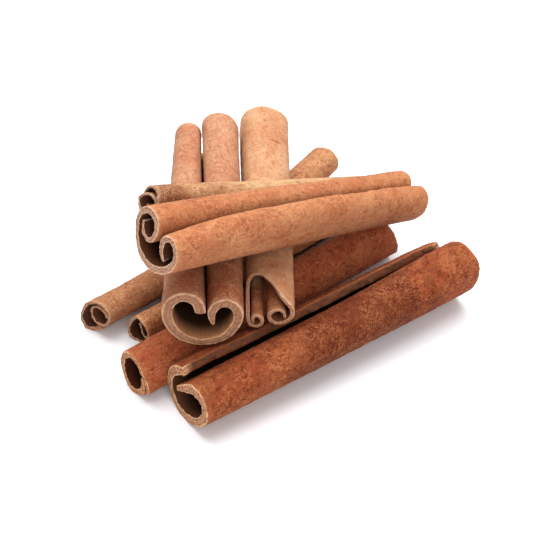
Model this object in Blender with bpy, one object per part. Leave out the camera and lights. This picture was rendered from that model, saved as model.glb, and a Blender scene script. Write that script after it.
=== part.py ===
import bpy
import bmesh
import numpy as np
from math import radians

# A stack of eight cinnamon quills: four lie side by side on the table, two cross them, two lie on top.
# Every quill is one sheet of bark rolled up. Sizes are in millimetres and degrees unless noted.

MM = 0.001
RESTING_FLAT = 0.22    # how far the lowest bark of a quill is worn flat where it lies on the table
TORN_EDGE = 0.45       # unevenness of the torn ends, along the quill

# Centre of the whole stack's outline on the table, so that the origin lies below its middle.
MIDDLE_X = -4.38
MIDDLE_Y = -1.44

# One entry a quill.
#   sheet     width of the bark sheet before it curled
#   start     where the sheet's first edge lies in the cross-section (right, up), heading its direction
#   curl      how sharply the sheet bends, degrees a millimetre, at even steps across its width
#   wall      thickness of the bark at even steps across its width
#   near      centre of the near end, azimuth turned from straight away towards the right, tilt upward
#   later_curls  the bend further along, at even steps up to the far end, where it changes on the way
#   squash    how far the cross-section is pressed flat
#   taper     size of the far end over that of the near end, twist the turn between the two
#   bow       sideways bend of the middle, wave the unevenness of the girth
#   front     how far the near end is torn back at even steps across the sheet, slant the cut's tilt
QUILLS = {
    "front_quill": {
        "sheet": 45.5, "start": (-1.5, 6.1), "heading": -144.2,
        "curl": (-6.7, 9.8, 10.6, 9.8, 8.5, 5.1, 5.5, 19.8, 12.4, 2.9, -8.1),
        "later_curls": (
            (-3.0, 11.2, 10.5, 9.4, 8.1, 4.9, 4.6, 16.5, 13.4, 5.6, 1.5),
            (2.0, 12.8, 10.5, 9.0, 7.7, 5.3, 5.4, 14.0, 13.2, 9.0, 8.5)),
        "wall": (2.1, 2.7, 2.5, 2.5, 2.4, 2.4, 2.5, 2.7, 2.8, 2.4, 1.5),
        "near": (-25.35, -48.55, 0.0), "azimuth": 55.8, "tilt": 0.0, "length": 79.0, "squash": 0.97,
        "taper": 1.1, "twist": 23.0, "bow": 0.3, "wave": 0.008, "front": (0.0, 0.0, 0.3, 0.0),
        "back": (1.5, 0.4, 0.0, 0.2, 1.0), "slant": (-0.02, 0.12), "cells": (32, 10),
        "colour": (0.45, 0.19, 0.09),
    },
    "middle_quill": {
        "sheet": 33.3, "start": (2.2, 0.5), "heading": -61.3,
        "curl": (-2.1, -22.8, -12.2, -19.0, -4.0, -13.1, -12.4, -17.8, -3.5, -8.5, -30.0),
        "wall": (1.1, 1.8, 1.9, 1.9, 1.8, 1.8, 1.8, 1.7, 1.7, 1.6, 1.0),
        "near": (-37.75, -40.65, 0.0), "azimuth": 49.6, "tilt": 0.0, "length": 81.4, "squash": 0.92,
        "taper": 0.98, "twist": -5.0, "bow": -0.4, "wave": 0.015, "front": (0.6, 0.0, 0.2, 0.0, 0.4),
        "back": (0.0, 0.6, 0.2), "slant": (-0.02, 0.1), "cells": (28, 9), "colour": (0.42, 0.17, 0.085),
    },
    "slim_quill": {
        "sheet": 27.5, "start": (1.4, -3.4), "heading": -142.1,
        "curl": (-14.0, -13.8, -27.5, -14.8, -9.2, -7.3, -6.4, -34.6, -19.6, -1.6, -75.5, 4.4, 47.8),
        "wall": (0.6, 0.8, 0.9, 0.9, 0.8, 0.8, 0.8, 0.7, 0.5),
        "near": (-39.05, -25.0, 0.0), "azimuth": 47.7, "tilt": 0.0, "length": 80.0, "squash": 1.0,
        "taper": 1.0, "twist": 8.0, "bow": 0.4, "wave": 0.02, "front": (1.6, 0.4, 1.0, 0.0, 1.2, 0.2),
        "back": (0.2, 0.0, 0.8), "slant": (0.0, 0.1), "cells": (26, 8), "colour": (0.55, 0.27, 0.12),
    },
    "rear_quill": {
        "sheet": 39.7, "start": (1.55, -3.1), "heading": -154.3,
        "curl": (15.6, -12.6, -33.4, -7.3, -2.4, -13.8, -6.3, -23.1, -14.2, -19.6, -22.0, -17.6, -32.5,
                 -18.5, -39.4),
        "wall": (1.2, 1.4, 1.1, 0.9, 0.9, 1.0, 1.0, 0.9, 0.8, 0.7, 0.7, 0.7, 0.7, 0.6),
        "near": (-49.7, -20.9, 0.0), "azimuth": 40.7, "tilt": 0.0, "length": 89.9, "squash": 0.89,
        "taper": 1.19, "twist": -6.0, "bow": 3.7, "wave": 0.02, "front": (0.8, 0.0, 0.5, 0.0, 0.8),
        "back": (0.6, 0.0, 0.4), "slant": (0.08, 0.13), "cells": (28, 12), "colour": (0.55, 0.27, 0.12),
    },
    "left_cross_quill": {
        "sheet": 50.4, "start": (-0.3, 2.0), "heading": 84.7,
        "curl": (6.0, 19.7, 15.5, 7.9, 6.4, 8.6, 6.6, 8.2, 5.4, 11.9, 22.2, 18.6, -8.4),
        "later_curls": ((14.0, 28.0, 23.0, 11.0, 6.4, 8.0, 6.2, 8.8, 6.0, 11.6, 13.5, 15.9, 15.1),),
        "wall": (2.6, 2.8, 2.5, 2.5, 2.5, 2.2, 2.0, 2.1, 2.3, 2.4, 2.3, 2.2, 0.9),
        "near": (-21.35, -38.6, 20.22), "azimuth": -2.2, "tilt": -2.1, "length": 81.4, "squash": 0.99,
        "taper": 1.02, "twist": 19.0, "bow": 0.0, "wave": 0.006, "front": (0.0, 0.2, 0.0, 0.2, 0.0),
        "back": (2.0, 0.4, 0.0, 0.4, 0.0, 0.2, 0.0, 0.0, 0.5), "slant": (0.0, 0.0), "cells": (36, 9),
        "colour": (0.53, 0.25, 0.13),
    },
    "right_cross_quill": {
        "sheet": 42.5, "start": (-3.9, -4.2), "heading": 97.9,
        "curl": (6.1, -73.1, -23.9, -34.0, -44.2, -1.6, -0.3, -13.2, -19.6, -12.0, -8.9, -3.2, -14.5, -17.5,
                 -16.2, -16.8, -28.9, -27.3, -29.9, -37.4, -27.0),
        "later_curls": (
            (6.1, -73.1, -23.9, -34.0, -44.2, -1.6, -1.2, -12.0, -16.0, -11.3, -9.5, -6.5, -13.0, -16.0,
             -16.2, -17.5, -29.0, -27.3, -29.9, -37.4, -27.0),),
        "wall": (0.7, 1.0, 1.0, 1.0, 0.9, 0.9, 0.9, 1.0, 1.1, 1.2, 1.1, 0.9, 0.7),
        "near": (-6.45, -34.4, 19.85), "azimuth": -1.3, "tilt": -2.1, "length": 87.6, "squash": 0.93,
        "taper": 1.26, "twist": 7.0, "bow": 0.0, "wave": 0.008,
        "front": (0.0, 0.0, 0.0, 0.1, 0.4, 1.8, 5.6, 8.6, 9.0, 8.2, 5.6,
                  1.5, 0.0, 0.0, 0.0, 0.1, 0.0, 0.2, 0.0, 0.2, 0.0),
        "back": (0.3, 0.0, 0.4, 0.0), "slant": (0.0, 0.0), "cells": (44, 10), "colour": (0.58, 0.32, 0.16),
    },
    "top_quill": {
        "sheet": 55.8, "start": (-5.5, 2.5), "heading": -71.1,
        "curl": (-13.7, 37.0, 8.6, 23.4, 13.9, 11.7, 4.7, 10.1, 9.4, 4.9, 7.1, 18.1, 22.1, 22.0, -0.7),
        "later_curls": (
            (-8.0, 37.0, 11.0, 24.0, 13.9, 10.7, 4.7, 10.1, 9.4, 8.2, 3.4, -1.5, 19.0, 30.0, 22.0),
            (8.0, 40.0, 14.0, 25.0, 14.4, 11.2, 4.9, 10.6, 9.4, 7.4, 4.4, 4.0, 21.5, 27.0, 14.0),
            (12.0, 42.0, 15.0, 25.0, 15.4, 11.7, 5.2, 10.6, 9.4, 5.9, 6.1, 14.1, 22.1, 23.0, 4.0)),
        "wall": (0.8, 1.2, 1.4, 2.0, 1.8, 1.5, 1.4, 1.7, 1.9, 1.9, 1.9, 1.7, 1.6, 1.7, 0.9),
        "near": (-30.5, -35.9, 40.25), "azimuth": 50.5, "tilt": -16.6, "length": 81.4, "squash": 0.98,
        "taper": 0.93, "twist": 6.0, "bow": 0.0, "wave": 0.01, "front": (0.3, 0.0, 0.2, 0.0, 0.3),
        "back": (0.5, 0.0, 0.3, 0.8, 0.0), "slant": (0.0, 0.0), "cells": (42, 9),
        "colour": (0.5, 0.22, 0.1),
    },
    "back_quill": {
        "sheet": 30.1, "start": (-3.75, 0.02), "heading": 75.9,
        "curl": (-3.0, -16.9, -9.7, -18.5, -26.9, -18.4, -10.3, -14.6, -20.5, -25.9, -34.2, -7.1, -21.5,
                 -55.7, -17.7, -36.7),
        "wall": (0.5, 0.7, 0.8, 0.8, 0.8, 0.8, 0.8, 0.7, 0.6, 0.6, 0.5),
        "near": (-33.6, -21.4, 39.8), "azimuth": 52.0, "tilt": -20.8, "length": 79.0, "squash": 0.97,
        "taper": 1.0, "twist": 6.0, "bow": 0.0, "wave": 0.02, "front": (1.2, 0.0, 0.4, 0.0, 1.0),
        "back": (0.2, 0.4, 0.0), "slant": (0.0, 0.1), "cells": (32, 8), "colour": (0.5, 0.24, 0.12),
    },
}


def even(values, at):
    """Value at a share of the way through a list given at even steps."""
    return np.interp(at, np.linspace(0.0, 1.0, len(values)), values)


def running(steps):
    """Sum up to each step, from nought."""
    return np.concatenate(([0.0], np.cumsum(steps)))


def curledLine(quill, share):
    """Mid-line of the rolled sheet and its heading at a share of the way along, in small steps."""
    fine = np.linspace(0.0, 1.0, 401)
    bends = [even(curl, fine) for curl in (quill["curl"],) + quill.get("later_curls", ())]
    place = share * (len(bends) - 1)
    first = min(int(place), max(len(bends) - 2, 0))
    here = bends[first] + (bends[min(first + 1, len(bends) - 1)] - bends[first]) * (place - first)
    step = quill["sheet"] / 400.0
    turns = [running((bend[1:] + bend[:-1]) * 0.5 * step) for bend in (bends[0], here)]
    heading = np.radians(quill["heading"] + turns[1] + turns[0][200] - turns[1][200])
    middle = (heading[1:] + heading[:-1]) * 0.5
    line = np.stack((running(np.cos(middle) * step), running(np.sin(middle) * step)), axis=-1)
    return line + np.array(quill["start"]), heading


def sheetLine(quill, across, share):
    """Points and normals of the rolled sheet at the given shares, the middle of its width kept in place."""
    fine = np.linspace(0.0, 1.0, 401)
    line, heading = curledLine(quill, share)
    line = line + (curledLine(quill, 0.0)[0][200] - line[200])
    points = np.stack((np.interp(across, fine, line[:, 0]), np.interp(across, fine, line[:, 1])), axis=-1)
    angle = np.interp(across, fine, heading)
    normals = np.stack((np.sin(angle), -np.cos(angle)), axis=-1)
    return points, normals


def quillPoints(quill):
    """Points of the bark's two faces: side, column across the sheet, row along the quill, coordinate."""
    columns, rows = quill["cells"]
    across = np.linspace(0.0, 1.0, columns + 1)
    half = even(quill["wall"], across) * 0.5
    ragged = np.sin(across * 41.0 + quill["sheet"]) + np.sin(across * 97.0 + quill["heading"])
    first = even(quill["front"], across) + TORN_EDGE * (0.5 + 0.25 * ragged)
    last = quill["length"] - even(quill["back"], across) - TORN_EDGE * (0.5 - 0.25 * ragged)
    points = np.zeros((2, columns + 1, rows + 1, 3))
    for row in range(rows + 1):
        share = row / rows
        line, normals = sheetLine(quill, across, share)
        for side, sign in enumerate((1.0, -1.0)):
            face = (line + normals * (half * sign)[:, None]) * np.array((1.0, quill["squash"]))
            slope = face[:, 0] * quill["slant"][0] + face[:, 1] * quill["slant"][1]
            along = first + slope * (1.0 - share) + (last - first) * share
            place = along / quill["length"]
            girth = 1.0 + (quill["taper"] - 1.0) * place
            girth += quill["wave"] * np.sin(place * 9.0 + quill["heading"])
            turned = np.radians(quill["twist"] * place)
            bend = quill["bow"] * 4.0 * place * (1.0 - place)
            right = face[:, 0] * np.cos(turned) - face[:, 1] * np.sin(turned)
            up = face[:, 0] * np.sin(turned) + face[:, 1] * np.cos(turned)
            points[side, :, row, 0] = right * girth + bend
            points[side, :, row, 1] = along
            points[side, :, row, 2] = up * girth
    return points


def quillMesh(name, quill):
    """Closed mesh of one rolled sheet, worn flat below when the quill lies on the table."""
    points = quillPoints(quill)
    height = quill["near"][2]
    if height == 0.0:
        points[..., 2] -= points[..., 2].min(axis=(0, 1))
        points[..., 2] = np.maximum(points[..., 2], RESTING_FLAT)
        height = -RESTING_FLAT
    columns, rows = quill["cells"]
    body = bmesh.new()
    grid = [[[body.verts.new(points[side, c, r] * MM) for r in range(rows + 1)]
             for c in range(columns + 1)] for side in range(2)]
    outer, inner = grid
    for c in range(columns):
        for r in range(rows):
            body.faces.new((outer[c][r], outer[c + 1][r], outer[c + 1][r + 1], outer[c][r + 1]))
            body.faces.new((inner[c][r], inner[c][r + 1], inner[c + 1][r + 1], inner[c + 1][r]))
        body.faces.new((outer[c][0], inner[c][0], inner[c + 1][0], outer[c + 1][0]))
        body.faces.new((outer[c][rows], outer[c + 1][rows], inner[c + 1][rows], inner[c][rows]))
    for r in range(rows):
        body.faces.new((outer[0][r], outer[0][r + 1], inner[0][r + 1], inner[0][r]))
        body.faces.new((outer[columns][r], inner[columns][r], inner[columns][r + 1], outer[columns][r + 1]))
    bmesh.ops.recalc_face_normals(body, faces=body.faces)
    mesh = bpy.data.meshes.new(name)
    body.to_mesh(mesh)
    body.free()
    mesh.polygons.foreach_set("use_smooth", [True] * len(mesh.polygons))
    return mesh, height


def barkMaterial(name, colour):
    """Plain matt bark."""
    material = bpy.data.materials.new(name)
    material.use_nodes = True
    shader = material.node_tree.nodes["Principled BSDF"]
    shader.inputs["Base Color"].default_value = (colour[0], colour[1], colour[2], 1.0)
    shader.inputs["Roughness"].default_value = 0.75
    return material


def layQuill(name, quill):
    """Makes one quill and lays it in the stack."""
    mesh, height = quillMesh(name, quill)
    mesh.materials.append(barkMaterial(name.replace("_quill", "_bark"), quill["colour"]))
    item = bpy.data.objects.new(name, mesh)
    bpy.context.collection.objects.link(item)
    near = quill["near"]
    item.location = ((near[0] - MIDDLE_X) * MM, (near[1] - MIDDLE_Y) * MM, height * MM)
    item.rotation_euler = (radians(quill["tilt"]), 0.0, radians(-quill["azimuth"]))
    return item


for old in list(bpy.data.objects):
    bpy.data.objects.remove(old)

for quillName, quillSizes in QUILLS.items():
    layQuill(quillName, quillSizes)
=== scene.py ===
from math import cos, pi, radians, sin

import bmesh
import bpy
import numpy as np
from mathutils import Euler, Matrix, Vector


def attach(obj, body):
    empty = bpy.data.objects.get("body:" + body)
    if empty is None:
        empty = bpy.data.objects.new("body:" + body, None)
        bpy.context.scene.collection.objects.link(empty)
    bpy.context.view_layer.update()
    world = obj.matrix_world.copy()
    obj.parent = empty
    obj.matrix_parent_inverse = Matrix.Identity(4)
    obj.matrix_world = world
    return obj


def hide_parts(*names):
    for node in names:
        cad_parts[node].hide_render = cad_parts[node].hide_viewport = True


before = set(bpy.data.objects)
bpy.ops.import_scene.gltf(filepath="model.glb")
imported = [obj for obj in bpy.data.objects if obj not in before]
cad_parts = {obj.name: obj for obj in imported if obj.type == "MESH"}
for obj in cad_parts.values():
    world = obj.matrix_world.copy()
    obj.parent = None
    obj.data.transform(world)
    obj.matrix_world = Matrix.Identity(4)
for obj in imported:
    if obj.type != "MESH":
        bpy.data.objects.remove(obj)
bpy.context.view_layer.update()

# A stack of cinnamon quills. Sizes are in millimetres and degrees until a piece is laid in the stack.
mm = 0.001
stackMiddle = (-4.38, -1.44)   # middle of the stack's outline, the same as in the solids
restingFlat = 0.22             # bark worn flat where a lower quill lies on the table
cellAcross = 0.29              # mesh cells on the bark, across the sheet and along it
cellAlong = 0.36
finerEnds = 0.42               # how much smaller the cells get towards the two ends
layerCuts = 5                  # cuts across the thickness of the torn edges
curlSteps = 400                # short straight steps that a curled section is laid out in
curlSections = 25              # sections along a quill whose curl changes on the way
cornerRounding = 0.2           # how far torn corners are rounded, and over what width
cornerWidth = 0.3
sheetScale = 0.01              # flat sheet places as stored, for each millimetre


# Reads values given at even steps.
def even(values, at):
    return np.interp(at, np.linspace(0.0, 1.0, len(values)), values)


# Smooth random bumps, from about -1 to 1, with lumps of the given size.
def bumps(seed, x, y, sizeX, sizeY):
    wide, high = 97, 389
    table = np.random.default_rng(seed).uniform(-1.0, 1.0, (wide, high))
    gx = x / sizeX + 40.37
    gy = y / sizeY + 90.71
    ix = np.floor(gx).astype(int)
    iy = np.floor(gy).astype(int)
    fx = gx - ix
    fy = gy - iy
    fx = fx * fx * (3.0 - 2.0 * fx)
    fy = fy * fy * (3.0 - 2.0 * fy)
    a = table[ix % wide, iy % high]
    b = table[(ix + 1) % wide, iy % high]
    c = table[ix % wide, (iy + 1) % high]
    d = table[(ix + 1) % wide, (iy + 1) % high]
    return (a * (1.0 - fx) + b * fx) * (1.0 - fy) + (c * (1.0 - fx) + d * fx) * fy


# Bumps with smaller ones on top.
def roughBumps(seed, x, y, sizeX, sizeY):
    total = bumps(seed, x, y, sizeX, sizeY)
    total += 0.5 * bumps(seed + 1, x, y, sizeX * 0.47, sizeY * 0.47)
    total += 0.25 * bumps(seed + 2, x, y, sizeX * 0.22, sizeY * 0.22)
    return total / 1.4


# 0 up to the first edge, 1 past the second, smooth between them.
def fade(edgeA, edgeB, value):
    t = np.clip((value - edgeA) / (edgeB - edgeA), 0.0, 1.0)
    return t * t * (3.0 - 2.0 * t)


# The curl of the sheet in cross-section at a share of the way along: points and headings.
def curlLine(quill, share):
    fine = np.linspace(0.0, 1.0, curlSteps + 1)
    centre = curlSteps // 2
    bends = [even(curl, fine) for curl in (quill["curl"],) + quill.get("laterCurls", ())]
    place = share * (len(bends) - 1)
    first = min(int(place), max(len(bends) - 2, 0))
    here = bends[first] + (bends[min(first + 1, len(bends) - 1)] - bends[first]) * (place - first)
    step = quill["sheet"] / curlSteps
    lines = []
    for bend in (bends[0], here):
        turn = np.concatenate(([0.0], np.cumsum((bend[1:] + bend[:-1]) * 0.5 * step)))
        if lines:
            turn = turn + lines[0][2][centre] - turn[centre]
        heading = np.radians(quill["heading"] + turn)
        middle = (heading[1:] + heading[:-1]) * 0.5
        right = quill["start"][0] + np.concatenate(([0.0], np.cumsum(np.cos(middle) * step)))
        up = quill["start"][1] + np.concatenate(([0.0], np.cumsum(np.sin(middle) * step)))
        lines.append((right, up, turn, heading))
    right = lines[1][0] + lines[0][0][centre] - lines[1][0][centre]
    up = lines[1][1] + lines[0][1][centre] - lines[1][1][centre]
    return right, up, lines[1][3]


# A flat sheet of bark as a closed slab: x across it, y along it and z through it, all from 0 to 1.
def flatBark(quill):
    sheet = bmesh.new()
    columns = round(quill["sheet"] / cellAcross)
    rows = round(quill["length"] / cellAlong)
    bmesh.ops.create_grid(sheet, x_segments=columns, y_segments=rows, size=0.5)
    bmesh.ops.translate(sheet, verts=sheet.verts[:], vec=(0.5, 0.5, 0.0))
    grown = bmesh.ops.extrude_face_region(sheet, geom=sheet.faces[:], use_keep_orig=True)
    upper = [item for item in grown["geom"] if isinstance(item, bmesh.types.BMVert)]
    bmesh.ops.translate(sheet, verts=upper, vec=(0.0, 0.0, 1.0))
    through = [edge for edge in sheet.edges if abs(edge.verts[0].co.z - edge.verts[1].co.z) > 0.5]
    bmesh.ops.subdivide_edges(sheet, edges=through, cuts=layerCuts, use_grid_fill=True)
    return sheet, rows


# Torn long edges: places across the flat sheet, in millimetres.
def tearLips(quill, x, along, depth):
    seed = quill["seed"]
    inset = []
    for lip, depthOfTear in enumerate(quill["lips"]):
        tear = 0.5 + 0.5 * roughBumps(seed + 10 + lip, along, depth * 0.8, 5.0, 1.0)
        tear += 0.35 * bumps(seed + 14 + lip, along, depth * 1.5, 0.9, 0.6)
        inset.append(depthOfTear * np.clip(tear, 0.0, 1.6))
    return inset[0] + x * (quill["sheet"] - inset[0] - inset[1])


# Torn ends: long teeth, small ones, crumbs, and soft middle layers broken back behind the skins.
def tearEnds(quill, across, depth, middle, wall):
    share = across / quill["sheet"]
    torn = []
    for end in (0, 1):
        seed = quill["seed"] + end * 5
        teeth = roughBumps(seed + 20, across, depth * 0.7, 2.6, 0.9)
        small = bumps(seed + 23, across, depth * 2.0, 0.6, 0.6)
        crumbs = bumps(seed + 62, across, depth * wall, 0.38, 0.36)
        hollow = np.clip(0.6 + 0.7 * bumps(seed + 64, across, depth * wall, 0.8, 0.7), 0.0, 1.2)
        torn.append(quill["ragged"] * np.clip(0.45 + 0.5 * teeth + 0.2 * small, 0.0, 1.3)
                    + 0.12 * (1.0 + crumbs) + 0.2 * hollow * middle ** 0.7 * np.minimum(wall / 1.6, 1.0))
    first = even(quill["front"], share) + torn[0]
    last = quill["length"] - even(quill["back"], share) - torn[1]
    return first, last


# The middle of the rolled wall and its heading, read from a table of sections along the quill.
def rolledLine(quill, share, y):
    steps = curlSections if "laterCurls" in quill else 2
    table = [curlLine(quill, k / (steps - 1.0)) for k in range(steps)]
    gx = np.clip(share * curlSteps, 0.0, curlSteps - 0.001)
    gy = np.clip(y * (steps - 1.0), 0.0, steps - 1.0001)
    ix = gx.astype(int)
    iy = gy.astype(int)
    fx = gx - ix
    fy = gy - iy

    def read(grid):
        return ((grid[iy, ix] * (1.0 - fx) + grid[iy, ix + 1] * fx) * (1.0 - fy)
                + (grid[iy + 1, ix] * (1.0 - fx) + grid[iy + 1, ix + 1] * fx) * fy)

    return [read(np.array([line[part] for line in table])) for part in range(3)]


# Relief of the outer and inner faces, mostly sunk into the wall.
def faceRelief(quill, across, along):
    seed = quill["seed"]
    lumps = quill["lumps"] * roughBumps(seed + 30, across, along, 7.0, 13.0)
    grain = quill["grain"] * roughBumps(seed + 33, across, along, 1.1, 1.5)
    wrinkles = quill["wrinkles"] * roughBumps(seed + 36, across, along, 6.0, 0.75)
    outer = lumps + grain + wrinkles - 0.05
    for fromShare, toShare, fromRow, toRow, sunk in quill["flakes"]:
        edge = 0.8 * roughBumps(seed + 50, across, along, 2.0, 2.0)
        flake = fade(0.0, 0.5, across - fromShare * quill["sheet"] + edge)
        flake = flake * fade(0.0, 0.5, toShare * quill["sheet"] - across + edge)
        flake = flake * fade(0.0, 0.6, along - fromRow + edge) * fade(0.0, 0.6, toRow - along + edge)
        outer = outer - sunk * flake
    inner = lumps - quill["grain"] * 1.2 * roughBumps(seed + 40, across, along, 0.9, 2.2) + 0.03
    return outer, inner


# Stained patches and patches of painted shade, both with ragged borders.
def stainedAndShadedBark(quill, share, across, along):
    stain_and_shade = np.zeros(len(across))
    ragged = 0.35 * roughBumps(quill["seed"] + 60, across, along, 3.0, 3.0)
    for atShare, atAlong, wide, high, strength in quill["stainsAndShade"]:
        away = np.hypot((share - atShare) * quill["sheet"] / wide, (along - atAlong) / high) + ragged
        stain_and_shade += strength * fade(1.25, 0.55, away)
    return stain_and_shade


# A quill on the table touches it all along, its lowest bark a little worn.
def wearFlat(rolled, row, rows):
    lowest = np.full(rows + 1, 1e6)
    np.minimum.at(lowest, row, rolled[:, 2])
    lowest = np.convolve(np.pad(lowest, 4, mode="edge"), np.full(9, 1.0 / 9.0), mode="valid")
    rolled[:, 2] = np.maximum(rolled[:, 2] - lowest[row], restingFlat)


# Where each point of the flat sheet comes to lie once the bark has dried and rolled up.
def curlUp(quill, x, y, z, rows):
    sheet = quill["sheet"]
    length = quill["length"]
    row = np.rint(y * rows).astype(int)
    y = y - finerEnds * np.sin(y * 2.0 * pi) / (2.0 * pi)
    outside = 1.0 if np.mean(quill["curl"]) > 0.0 else -1.0
    depth = z if outside > 0.0 else 1.0 - z           # 0 on the inner face, 1 on the bark's own face
    middle = 1.0 - np.abs(2.0 * depth - 1.0)          # 1 half way through the wall
    across = tearLips(quill, x, y * length, depth)
    share = across / sheet
    wall = even(quill["wall"], share)
    first, last = tearEnds(quill, across, depth, middle, wall)
    along = first + (last - first) * y
    # distance to the nearest edge, and the edges' own rounding
    toEnd = np.minimum(y, 1.0 - y) * length
    toLip = np.minimum(x, 1.0 - x) * sheet
    rounding = cornerRounding * (1.0 - middle) ** 3
    roundEnd = rounding * np.exp(-toEnd / cornerWidth) * np.where(y < 0.5, 1.0, -1.0)
    roundLip = rounding * np.exp(-toLip / cornerWidth) * np.where(x < 0.5, 1.0, -1.0)
    share = np.clip(share + roundLip / sheet, 0.0, 1.0)
    # the rolled line, with the wall and its relief on both sides of it
    right, up, heading = rolledLine(quill, share, y)
    outer, inner = faceRelief(quill, across, along)
    offset = (depth - 0.5) * wall + outer * depth + inner * (1.0 - depth)
    offset = offset - (depth - 0.5) * np.exp(-np.minimum(toEnd, toLip) / 0.5) * wall * 0.06
    sideways = right + np.sin(heading) * offset * outside
    upward = (up - np.cos(heading) * offset * outside) * quill["squash"]
    # cut, taper, twist and bow
    slope = sideways * quill["slant"][0] + upward * quill["slant"][1]
    along = along + slope * (1.0 - y) + roundEnd
    reach = along / length
    girth = 1.0 + (quill["taper"] - 1.0) * reach + quill["wave"] * np.sin(reach * 9.0 + quill["heading"])
    turned = np.radians(quill["twist"] * reach)
    bend = quill["bow"] * 4.0 * reach * (1.0 - reach)
    rolled = np.stack(((sideways * np.cos(turned) - upward * np.sin(turned)) * girth + bend, along,
                       (sideways * np.sin(turned) + upward * np.cos(turned)) * girth), axis=-1)
    # laid in its place in the stack
    nearX, nearY, height = quill["near"]
    if height == 0.0:
        wearFlat(rolled, row, rows)
        height = -restingFlat
    lean = Euler((radians(quill["tilt"]), 0.0, radians(-quill["azimuth"]))).to_matrix()
    nearEnd = Vector((nearX - stackMiddle[0], nearY - stackMiddle[1], height)) * mm
    laid = (rolled * mm) @ np.array(lean).T + np.array(nearEnd)
    # what the bark's material reads: depth through the wall, worn edges, painted shade on the long lips,
    # painted shade deep inside, stains and painted shade
    readings = {
        "depth": depth,
        "wear": np.exp(-np.minimum(toEnd, toLip * 1.4) / 0.7),
        # painted shade on the cut faces of the long lips, away from the ends
        "lip_shade": np.exp(-toLip / 0.3) * fade(0.4, 3.0, toEnd),
        # painted shade inside the hollow, growing away from the ends
        "shade_inside": fade(0.2, 5.5, toEnd),
        "stain_and_shade": stainedAndShadedBark(quill, share, across, along),
    }
    return laid, readings, (across, along)


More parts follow.
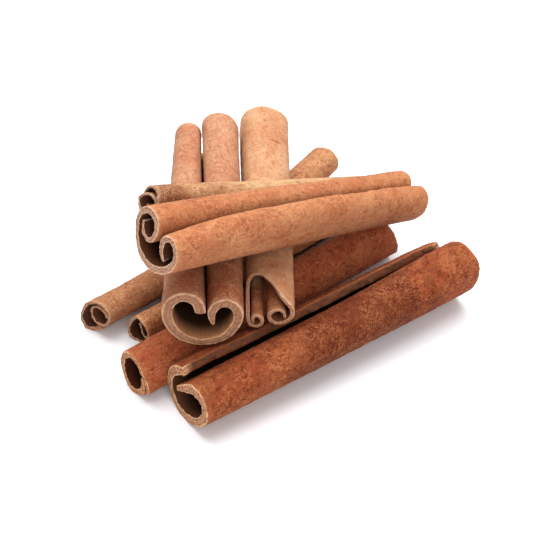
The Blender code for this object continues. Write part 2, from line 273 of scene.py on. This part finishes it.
# Dry bark: mottled outside, smooth and dull within, layered where it is torn.
def barkFinish(name, quill):
    material = bpy.data.materials.new(name)
    material.use_nodes = True
    nodes = material.node_tree.nodes
    links = material.node_tree.links
    shader = nodes["Principled BSDF"]
    shader.inputs["Specular IOR Level"].default_value = 0.08
    sheet = nodes.new("ShaderNodeUVMap")
    sheet.uv_map = "sheet"
    space = nodes.new("ShaderNodeTexCoord")

    # places in millimetres, on the flat sheet or in the stack
    def placed(source, scale, x, y, z=1.0):
        mapping = nodes.new("ShaderNodeMapping")
        mapping.inputs["Scale"].default_value = (scale * x, scale * y, scale * z)
        mapping.inputs["Location"].default_value = [quill["seed"] * shift for shift in (7.3, 3.1, 0.37)]
        links.new(source, mapping.inputs["Vector"])
        return mapping.outputs["Vector"]

    def onSheet(x, y):
        return placed(sheet.outputs["UV"], 1.0 / sheetScale, x, y)

    def noise(vector, scale, detail, distortion=0.0, roughness=0.6):
        texture = nodes.new("ShaderNodeTexNoise")
        texture.inputs["Scale"].default_value = scale
        texture.inputs["Detail"].default_value = detail
        texture.inputs["Roughness"].default_value = roughness
        texture.inputs["Distortion"].default_value = distortion
        links.new(vector, texture.inputs["Vector"])
        return texture.outputs["Fac"]

    def ramp(value, *stops):
        colours = nodes.new("ShaderNodeValToRGB")
        band = colours.color_ramp
        while len(band.elements) < len(stops):
            band.elements.new(0.5)
        for element, (position, colour) in zip(band.elements, stops):
            element.position = position
            element.color = (*colour, 1.0) if isinstance(colour, tuple) else (colour, colour, colour, 1.0)
        links.new(value, colours.inputs["Fac"])
        return colours.outputs["Color"]

    def mix(factor, below, above, blend="MIX"):
        blender = nodes.new("ShaderNodeMix")
        blender.data_type = "RGBA"
        blender.blend_type = blend
        for value, socket in zip((factor, below, above), (blender.inputs[number] for number in (0, 6, 7))):
            if isinstance(value, tuple):
                socket.default_value = (*value, 1.0)
            elif isinstance(value, float):
                socket.default_value = value
            else:
                links.new(value, socket)
        return blender.outputs[2]

    def maths(kind, a, b):
        node = nodes.new("ShaderNodeMath")
        node.operation = kind
        for value, socket in zip((a, b), node.inputs):
            if isinstance(value, float):
                socket.default_value = value
            else:
                links.new(value, socket)
        return node.outputs[0]

    def times(a, b):
        return maths("MULTIPLY", a, b)

    def attribute(which):
        reader = nodes.new("ShaderNodeAttribute")
        reader.attribute_name = which
        return reader.outputs["Fac"]

    bark, dark, pale, red = quill["bark"], quill["dark"], quill["pale"], quill["red"]
    mottle = quill["mottle"]
    depth = attribute("depth")
    wear = attribute("wear")
    # the bark's own face: broad patches, stains and painted shade, dark blotches, thin pale strokes, pits
    # and short fibres
    broad = noise(onSheet(1.0, 0.45), 0.17, 4.0, 0.4)
    blotch = noise(onSheet(1.0, 0.62), 0.6, 5.0, 1.0, 0.62)
    woolly = noise(onSheet(1.0, 0.8), 0.95, 3.0, 1.6, 0.55)
    pits = noise(onSheet(1.0, 0.75), 1.0, 2.0, 0.7)
    fibre = noise(onSheet(1.5, 0.5), 1.15, 3.0, 0.5)
    streaky = noise(onSheet(1.0, 0.6), 0.3, 2.0, 0.5)
    face = mix(ramp(broad, (0.38, 0.0), (0.62, 1.0)), mix(0.6, bark, red), mix(0.2, bark, pale))
    # stains and painted shade, laid over the face in their own colour
    face = mix(attribute("stain_and_shade"), face, quill.get("stainAndShadeColour", dark))
    face = mix(times(ramp(blotch, (0.5, 0.0), (0.66, 1.0)), 0.5 * mottle), face, dark)
    face = mix(times(ramp(blotch, (0.35, 1.0), (0.46, 0.0)), 0.2 * mottle), face, pale)
    strokes = ramp(woolly, (0.45, 0.0), (0.485, 1.0), (0.515, 1.0), (0.55, 0.0))
    face = mix(times(strokes, times(ramp(streaky, (0.36, 0.2), (0.56, 0.75)), mottle)), face, pale)
    face = mix(times(ramp(pits, (0.6, 0.0), (0.65, 1.0)), 0.65 * mottle), face, dark)
    face = mix(times(ramp(fibre, (0.36, 1.0), (0.48, 0.0)), quill["fibres"]), face, dark)
    face = mix(times(attribute("stain_and_shade"), 0.35), face, quill.get("stainAndShadeColour", dark))
    face = mix(times(wear, 0.45), face, pale)
    # the inner face, dull and streaked along the quill, with painted shade taking it near black further in
    streak = noise(onSheet(2.4, 0.2), 1.1, 4.0, 0.3)
    # painted shade deep in the hollow: the inner colour nearly black
    insideShade = tuple(channel * 0.05 for channel in quill["within"])
    streaked = mix(0.18, quill["within"], insideShade)
    within = mix(ramp(streak, (0.38, 0.0), (0.62, 1.0)), streaked, quill["within"])
    within = mix(times(attribute("shade_inside"), 0.97), within, insideShade)
    # torn edges: pale skins outside and inside, brown flecked layers between
    inStack = placed(space.outputs["Object"], 1.0 / mm, 1.0, 1.0)
    speck = noise(inStack, 1.9, 3.0, 0.4)
    crumb = noise(inStack, 0.8, 2.0, 0.3)
    layers = mix(ramp(speck, (0.42, 0.0), (0.56, 1.0)), mix(0.65, quill["layer"], dark), quill["layer"])
    shifted = maths("ADD", depth, times(maths("SUBTRACT", crumb, 0.5), 0.35))
    skins = ramp(shifted, (0.0, 0.95), (0.09, 0.8), (0.17, 0.1), (0.45, 0.3),
                 (0.6, 0.1), (0.8, 0.15), (0.9, 0.95), (1.0, 1.0))
    torn = mix(skins, layers, quill["rim"])
    torn = mix(times(ramp(speck, (0.34, 1.0), (0.43, 0.0)), 0.7), torn, dark)
    # long edges away from the ends painted dark: painted shade on their cut faces, mottled with crumbs
    edge = mix(ramp(crumb, (0.42, 0.0), (0.6, 1.0)), quill["edge"], mix(0.5, quill["edge"], bark))
    torn = mix(times(attribute("lip_shade"), 0.96), torn, edge)
    body = mix(ramp(depth, (0.0, 0.0), (0.035, 1.0)), within, torn)
    colour = mix(ramp(depth, (0.955, 0.0), (0.995, 1.0)), body, face)
    links.new(colour, shader.inputs["Base Color"])
    links.new(ramp(blotch, (0.3, 0.66), (0.7, 0.84)), shader.inputs["Roughness"])
    relief = mix(0.4, blotch, woolly)
    relief = mix(0.35, relief, fibre)
    relief = mix(ramp(depth, (0.955, 0.85), (0.995, 0.2)), relief, speck)
    bump = nodes.new("ShaderNodeBump")
    bump.inputs["Strength"].default_value = 0.9
    bump.inputs["Distance"].default_value = 0.0003
    links.new(relief, bump.inputs["Height"])
    links.new(bump.outputs["Normal"], shader.inputs["Normal"])
    return material


# One stick: its sheet of bark, curled up and laid in the stack.
def rollUp(node, quill):
    sheet, rows = flatBark(quill)
    flat = np.array([vert.co[:] for vert in sheet.verts])
    laid, attributes, onSheet = curlUp(quill, flat[:, 0], flat[:, 1], flat[:, 2], rows)
    for vert, place in zip(sheet.verts, laid.tolist()):
        vert.co = place
    bmesh.ops.recalc_face_normals(sheet, faces=sheet.faces[:])
    name = node.replace("_quill", "_stick")
    mesh = bpy.data.meshes.new(name)
    sheet.to_mesh(mesh)
    sheet.free()
    mesh.shade_smooth()
    for key, values in attributes.items():
        mesh.attributes.new(key, "FLOAT", "POINT").data.foreach_set("value", values.astype(np.float32))
    corners = np.zeros(len(mesh.loops), dtype=np.int32)
    mesh.loops.foreach_get("vertex_index", corners)
    places = np.stack(onSheet, axis=-1)[corners] * sheetScale
    mesh.uv_layers.new(name="sheet").data.foreach_set("uv", places.astype(np.float32).ravel())
    mesh.materials.append(barkFinish(name + "_finish", quill))
    stick = bpy.data.objects.new(name, mesh)
    bpy.context.collection.objects.link(stick)
    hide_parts(node)
    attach(stick, "root")


# Each stick has its own sizes, then its own colours and surface.
# Section: width of the sheet, where it starts and heads, degrees of curl a millimetre across it (and
#   further along, where that changes), thickness of the wall, how far it is squashed.
# Length: centre of the near end, azimuth, tilt, taper, twist, bow, wave of the girth, slant of the cut,
#   and how far the front and back ends are torn back across the sheet.
# Colours: bark with its dark, pale and red parts, inner face (on most sticks darkened as painted shade of
# the hollow), then layers, skins, and painted shade of the long edges.
# Surface: mottle and fibres of the bark, height of lumps, grain and wrinkles, unevenness of lips and ends.
# Stains and painted shade: share across, place along, width, height, strength. Flakes: two shares, two
# places along, depth.
frontQuill = {
    "sheet": 45.5, "start": (-1.5, 6.1), "heading": -144.2, "length": 79.0,
    "curl": (-6.7, 9.8, 10.6, 9.8, 8.5, 5.1, 5.5, 19.8, 12.4, 2.9, -8.1),
    "laterCurls": (
        (-3.0, 11.2, 10.5, 9.4, 8.1, 4.9, 4.6, 16.5, 13.4, 5.6, 1.5),
        (2.0, 12.8, 10.5, 9.0, 7.7, 5.3, 5.4, 14.0, 13.2, 9.0, 8.5),
    ),
    "wall": (2.1, 2.7, 2.5, 2.5, 2.4, 2.4, 2.5, 2.7, 2.8, 2.4, 1.5),
    "near": (-25.35, -48.55, 0.0), "azimuth": 55.8, "tilt": 0.0, "squash": 0.97, "taper": 1.1,
    "twist": 23.0, "bow": 0.3, "wave": 0.008, "slant": (-0.02, 0.12), "back": (1.5, 0.4, 0.0, 0.2, 1.0),
    "front": (0.0, 0.0, 0.3, 0.0),
    "bark": (0.18, 0.038, 0.0115), "dark": (0.0678, 0.0111, 0.0042), "pale": (0.4, 0.145, 0.058),
    "red": (0.21, 0.036, 0.012), "within": (0.09, 0.034, 0.016), "layer": (0.43, 0.2, 0.1),
    "rim": (0.68, 0.42, 0.25), "edge": (0.08, 0.033, 0.018), "mottle": 1.0, "fibres": 0.3, "seed": 3,
    "lumps": 0.12, "grain": 0.08, "wrinkles": 0.0, "lips": (0.6, 0.45), "ragged": 0.4,
    # the middle of the stick darker across its whole width
    "stainsAndShade": ((0.5, 44.0, 60.0, 20.0, 0.6),), "flakes": (),
}
rollUp("front_quill", frontQuill)
print("front quill laid")

middleQuill = {
    "sheet": 33.3, "start": (2.2, 0.5), "heading": -61.3, "length": 81.4,
    "curl": (-2.1, -22.8, -12.2, -19.0, -4.0, -13.1, -12.4, -17.8, -3.5, -8.5, -30.0),
    "wall": (1.1, 1.8, 1.9, 1.9, 1.8, 1.8, 1.8, 1.7, 1.7, 1.6, 1.0),
    "near": (-37.75, -40.65, 0.0), "azimuth": 49.6, "tilt": 0.0, "squash": 0.92, "taper": 0.98,
    "twist": -5.0, "bow": -0.4, "wave": 0.015, "slant": (-0.02, 0.1), "back": (0.0, 0.6, 0.2),
    "front": (0.6, 0.0, 0.2, 0.0, 0.4),
    "bark": (0.254, 0.0604, 0.0216), "dark": (0.0987, 0.0181, 0.0072), "pale": (0.47, 0.172, 0.0765),
    "red": (0.282, 0.05, 0.0198), "within": (0.06, 0.015, 0.006), "layer": (0.42, 0.19, 0.09),
    "rim": (0.64, 0.35, 0.19), "edge": (0.12, 0.055, 0.03), "mottle": 1.0, "fibres": 0.3, "seed": 11,
    "lumps": 0.12, "grain": 0.08, "wrinkles": 0.0, "lips": (0.35, 0.35), "ragged": 0.45,
    "stainsAndShade": (), "flakes": (),
}
rollUp("middle_quill", middleQuill)
print("middle quill laid")

slimQuill = {
    "sheet": 27.5, "start": (1.4, -3.4), "heading": -142.1, "length": 80.0,
    "curl": (-14.0, -13.8, -27.5, -14.8, -9.2, -7.3, -6.4, -34.6, -19.6, -1.6, -75.5, 4.4, 47.8),
    "wall": (0.6, 0.8, 0.9, 0.9, 0.8, 0.8, 0.8, 0.7, 0.5),
    "near": (-39.05, -25.0, 0.0), "azimuth": 47.7, "tilt": 0.0, "squash": 1.0, "taper": 1.0,
    "twist": 8.0, "bow": 0.4, "wave": 0.02, "slant": (0.0, 0.1), "back": (0.2, 0.0, 0.8),
    "front": (1.6, 0.4, 1.0, 0.0, 1.2, 0.2),
    "bark": (0.52, 0.215, 0.08), "dark": (0.181, 0.0496, 0.0199), "pale": (0.748, 0.401, 0.184),
    "red": (0.386, 0.117, 0.0456), "within": (0.07, 0.03, 0.018), "layer": (0.36, 0.18, 0.095),
    "rim": (0.58, 0.35, 0.21), "edge": (0.14, 0.075, 0.045), "mottle": 0.8, "fibres": 0.35, "seed": 23,
    "lumps": 0.1, "grain": 0.06, "wrinkles": 0.03, "lips": (0.3, 0.3), "ragged": 0.55,
    # the near end darker across the whole width
    "stainsAndShade": ((0.5, 4.0, 60.0, 22.0, 0.55),), "stainAndShadeColour": (0.13, 0.04, 0.017), "flakes": (),
}
rollUp("slim_quill", slimQuill)
print("slim quill laid")

rearQuill = {
    "sheet": 39.7, "start": (1.55, -3.1), "heading": -154.3, "length": 89.9,
    "curl": (15.6, -12.6, -33.4, -7.3, -2.4, -13.8, -6.3, -23.1, -14.2, -19.6, -22.0, -17.6, -32.5,
             -18.5, -39.4),
    "wall": (1.2, 1.4, 1.1, 0.9, 0.9, 1.0, 1.0, 0.9, 0.8, 0.7, 0.7, 0.7, 0.7, 0.6),
    "near": (-49.7, -20.9, 0.0), "azimuth": 40.7, "tilt": 0.0, "squash": 0.89, "taper": 1.19,
    "twist": -6.0, "bow": 3.7, "wave": 0.02, "slant": (0.08, 0.13), "back": (0.6, 0.0, 0.4),
    "front": (0.8, 0.0, 0.5, 0.0, 0.8),
    "bark": (0.344, 0.145, 0.061), "dark": (0.144, 0.044, 0.0184), "pale": (0.532, 0.297, 0.155),
    "red": (0.297, 0.099, 0.0425), "within": (0.09, 0.034, 0.018), "layer": (0.33, 0.16, 0.09),
    "rim": (0.56, 0.34, 0.21), "edge": (0.15, 0.08, 0.05), "mottle": 0.95, "fibres": 0.3, "seed": 31,
    "lumps": 0.13, "grain": 0.06, "wrinkles": 0.04, "lips": (0.3, 0.3), "ragged": 0.5,
    # the near end darker across the whole width
    "stainsAndShade": ((0.5, 4.0, 60.0, 34.0, 0.35),), "stainAndShadeColour": (0.13, 0.05, 0.025), "flakes": (),
}
rollUp("rear_quill", rearQuill)
print("rear quill laid")

leftCrossQuill = {
    "sheet": 50.4, "start": (-0.3, 2.0), "heading": 84.7, "length": 81.4,
    "curl": (6.0, 19.7, 15.5, 7.9, 6.4, 8.6, 6.6, 8.2, 5.4, 11.9, 22.2, 18.6, -8.4),
    "laterCurls": (
        (14.0, 28.0, 23.0, 11.0, 6.4, 8.0, 6.2, 8.8, 6.0, 11.6, 13.5, 15.9, 15.1),
    ),
    "wall": (2.6, 2.8, 2.5, 2.5, 2.5, 2.2, 2.0, 2.1, 2.3, 2.4, 2.3, 2.2, 0.9),
    "near": (-21.35, -38.6, 20.22), "azimuth": -2.2, "tilt": -2.1, "squash": 0.99, "taper": 1.02,
    "twist": 19.0, "bow": 0.0, "wave": 0.006, "slant": (0.0, 0.0),
    "back": (2.0, 0.4, 0.0, 0.4, 0.0, 0.2, 0.0, 0.0, 0.5),
    "front": (0.0, 0.2, 0.0, 0.2, 0.0),
    "bark": (0.404, 0.187, 0.101), "dark": (0.193, 0.068, 0.0354), "pale": (0.549, 0.34, 0.209),
    "red": (0.347, 0.113, 0.0607), "within": (0.44, 0.2, 0.095), "layer": (0.27, 0.13, 0.075),
    "rim": (0.56, 0.34, 0.21), "edge": (0.2, 0.1, 0.06), "mottle": 0.7, "fibres": 0.3, "seed": 41,
    "lumps": 0.1, "grain": 0.05, "wrinkles": 0.1, "lips": (0.35, 0.25), "ragged": 0.3,
    # painted shade: both rolls darker and redder at the near end, where the top quill shades them
    "stainsAndShade": ((0.12, 4.0, 6.0, 15.0, 0.5), (0.88, 4.0, 7.0, 15.0, 0.8)),
    "stainAndShadeColour": (0.19, 0.042, 0.011), "flakes": (),
}
rollUp("left_cross_quill", leftCrossQuill)
print("left cross quill laid")

rightCrossQuill = {
    "sheet": 42.5, "start": (-3.9, -4.2), "heading": 97.9, "length": 87.6,
    "curl": (6.1, -73.1, -23.9, -34.0, -44.2, -1.6, -0.3, -13.2, -19.6, -12.0, -8.9, -3.2, -14.5,
             -17.5, -16.2, -16.8, -28.9, -27.3, -29.9, -37.4, -27.0),
    "laterCurls": (
        (6.1, -73.1, -23.9, -34.0, -44.2, -1.6, -1.2, -12.0, -16.0, -11.3, -9.5, -6.5, -13.0, -16.0,
         -16.2, -17.5, -29.0, -27.3, -29.9, -37.4, -27.0),
    ),
    "wall": (0.7, 1.0, 1.0, 1.0, 0.9, 0.9, 0.9, 1.0, 1.1, 1.2, 1.1, 0.9, 0.7),
    "near": (-6.45, -34.4, 19.85), "azimuth": -1.3, "tilt": -2.1, "squash": 0.93, "taper": 1.26,
    "twist": 7.0, "bow": 0.0, "wave": 0.008, "slant": (0.0, 0.0), "back": (0.3, 0.0, 0.4, 0.0),
    "front": (0.0, 0.0, 0.0, 0.1, 0.4, 1.8, 5.6, 8.6, 9.0, 8.2, 5.6, 1.5, 0.0, 0.0, 0.0, 0.1, 0.0, 0.2,
              0.0, 0.2, 0.0),
    "bark": (0.449, 0.234, 0.119), "dark": (0.234, 0.0835, 0.0375), "pale": (0.606, 0.411, 0.242),
    "red": (0.361, 0.125, 0.0581), "within": (0.24, 0.085, 0.04), "layer": (0.34, 0.17, 0.1),
    "rim": (0.58, 0.36, 0.23), "edge": (0.2, 0.09, 0.05), "mottle": 0.55, "fibres": 0.3, "seed": 53,
    "lumps": 0.09, "grain": 0.04, "wrinkles": 0.08, "lips": (0.25, 0.25), "ragged": 0.35,
    # painted shade: the two inner rolls and the middle darker and redder at the near end, in the top
    # quill's shade inside the bite, over some real reddening; the last entry is a small real mark
    "stainsAndShade": ((0.12, 3.0, 6.0, 11.0, 0.8), (0.88, 3.0, 6.5, 11.0, 0.8), (0.5, 3.0, 9.0, 14.0, 0.2),
               (0.555, 68.7, 1.3, 0.35, 0.9)),
    "stainAndShadeColour": (0.2, 0.042, 0.013), "flakes": (),
}
rollUp("right_cross_quill", rightCrossQuill)
print("right cross quill laid")

topQuill = {
    "sheet": 55.8, "start": (-5.5, 2.5), "heading": -71.1, "length": 81.4,
    "curl": (-13.7, 37.0, 8.6, 23.4, 13.9, 11.7, 4.7, 10.1, 9.4, 4.9, 7.1, 18.1, 22.1, 22.0, -0.7),
    "laterCurls": (
        (-8.0, 37.0, 11.0, 24.0, 13.9, 10.7, 4.7, 10.1, 9.4, 8.2, 3.4, -1.5, 19.0, 30.0, 22.0),
        (8.0, 40.0, 14.0, 25.0, 14.4, 11.2, 4.9, 10.6, 9.4, 7.4, 4.4, 4.0, 21.5, 27.0, 14.0),
        (12.0, 42.0, 15.0, 25.0, 15.4, 11.7, 5.2, 10.6, 9.4, 5.9, 6.1, 14.1, 22.1, 23.0, 4.0),
    ),
    "wall": (0.8, 1.2, 1.4, 2.0, 1.8, 1.5, 1.4, 1.7, 1.9, 1.9, 1.9, 1.7, 1.6, 1.7, 0.9),
    "near": (-30.5, -35.9, 40.25), "azimuth": 50.5, "tilt": -16.6, "squash": 0.98, "taper": 0.93,
    "twist": 6.0, "bow": 0.0, "wave": 0.01, "slant": (0.0, 0.0), "back": (0.5, 0.0, 0.3, 0.8, 0.0),
    "front": (0.3, 0.0, 0.2, 0.0, 0.3),
    "bark": (0.37, 0.143, 0.0612), "dark": (0.176, 0.0489, 0.0204), "pale": (0.529, 0.264, 0.128),
    "red": (0.318, 0.0865, 0.0367), "within": (0.09, 0.032, 0.015), "layer": (0.38, 0.22, 0.145),
    "rim": (0.68, 0.44, 0.3), "edge": (0.16, 0.08, 0.05), "mottle": 0.85, "fibres": 0.25, "seed": 61,
    "lumps": 0.1, "grain": 0.05, "wrinkles": 0.03, "lips": (0.3, 0.3), "ragged": 0.35,
    "stainsAndShade": (), "flakes": ((0.9, 1.1, 49.5, 66.0, 0.42),),
}
rollUp("top_quill", topQuill)
print("top quill laid")

backQuill = {
    "sheet": 30.1, "start": (-3.75, 0.02), "heading": 75.9, "length": 79.0,
    "curl": (-3.0, -16.9, -9.7, -18.5, -26.9, -18.4, -10.3, -14.6, -20.5, -25.9, -34.2, -7.1, -21.5,
             -55.7, -17.7, -36.7),
    "wall": (0.5, 0.7, 0.8, 0.8, 0.8, 0.8, 0.8, 0.7, 0.6, 0.6, 0.5),
    "near": (-33.6, -21.4, 39.8), "azimuth": 52.0, "tilt": -20.8, "squash": 0.97, "taper": 1.0,
    "twist": 6.0, "bow": 0.0, "wave": 0.02, "slant": (0.0, 0.1), "back": (0.2, 0.4, 0.0),
    "front": (1.2, 0.0, 0.4, 0.0, 1.0),
    "bark": (0.436, 0.244, 0.116), "dark": (0.185, 0.0703, 0.0326), "pale": (0.593, 0.42, 0.239),
    "red": (0.278, 0.0964, 0.0502), "within": (0.14, 0.06, 0.035), "layer": (0.34, 0.2, 0.13),
    "rim": (0.6, 0.4, 0.26), "edge": (0.14, 0.08, 0.05), "mottle": 0.85, "fibres": 0.3, "seed": 71,
    "lumps": 0.07, "grain": 0.05, "wrinkles": 0.02, "lips": (0.25, 0.25), "ragged": 0.55,
    "stainsAndShade": ((0.5, 3.6, 60.0, 5.0, 0.9),), "stainAndShadeColour": (0.17, 0.05, 0.022), "flakes": (),
}
rollUp("back_quill", backQuill)
print("back quill laid")

# Pale table, far wider than the view.
table = {"size": 6.0, "colour": (0.8, 0.82, 0.87), "roughness": 0.7}
board = bmesh.new()
bmesh.ops.create_grid(board, x_segments=1, y_segments=1, size=table["size"] * 0.5)
boardMesh = bpy.data.meshes.new("table_top")
board.to_mesh(boardMesh)
board.free()
tableTop = bpy.data.objects.new("table_top", boardMesh)
bpy.context.collection.objects.link(tableTop)
paint = bpy.data.materials.new("white_table")
paint.use_nodes = True
coat = paint.node_tree.nodes["Principled BSDF"]
coat.inputs["Base Color"].default_value = (*table["colour"], 1.0)
coat.inputs["Roughness"].default_value = table["roughness"]
boardMesh.materials.append(paint)

# Soft light from above and behind, a weak warm fill from the front, both turned to the stack.
stackHeart = Vector((0.0, 0.0, 0.02))
lamps = {
    "overhead": {"at": (0.02, 0.2, 0.62), "size": 0.8, "power": 7.4, "colour": (1.0, 1.0, 1.0)},
    "front_fill": {"at": (0.15, -0.6, 0.45), "size": 0.5, "power": 2.0, "colour": (1.0, 0.92, 0.86)},
}
for lampName, lamp in lamps.items():
    light = bpy.data.lights.new(lampName, "AREA")
    light.shape = "DISK"
    light.size = lamp["size"]
    light.energy = lamp["power"]
    light.color = lamp["colour"]
    holder = bpy.data.objects.new(lampName, light)
    bpy.context.collection.objects.link(holder)
    holder.location = lamp["at"]
    holder.rotation_euler = (stackHeart - holder.location).to_track_quat("-Z", "Y").to_euler()
sky = bpy.data.worlds.new("studio")
sky.use_nodes = True
sky.node_tree.nodes["Background"].inputs["Color"].default_value = (1.0, 0.95, 0.91, 1.0)
sky.node_tree.nodes["Background"].inputs["Strength"].default_value = 0.74
bpy.context.scene.world = sky
bpy.context.scene.view_settings.view_transform = "Standard"

# Camera looking down over the near ends of the sticks.
lens = {"focal": 63.05, "sensor": 36.0, "down": 40.03, "distance": 0.2548, "aim": (-4.939, 0.665)}
down = radians(lens["down"])
aim = Vector(((lens["aim"][0] - stackMiddle[0]) * mm, (lens["aim"][1] - stackMiddle[1]) * mm, 0.0))
eye = bpy.data.cameras.new("camera")
eye.lens = lens["focal"]
eye.sensor_width = lens["sensor"]
eye.clip_start = 0.005
camera = bpy.data.objects.new("camera", eye)
bpy.context.collection.objects.link(camera)
camera.location = aim - Vector((0.0, cos(down), -sin(down))) * lens["distance"]
camera.rotation_euler = (radians(90.0) - down, 0.0, 0.0)
bpy.context.scene.camera = camera
print("table, lights and camera set")
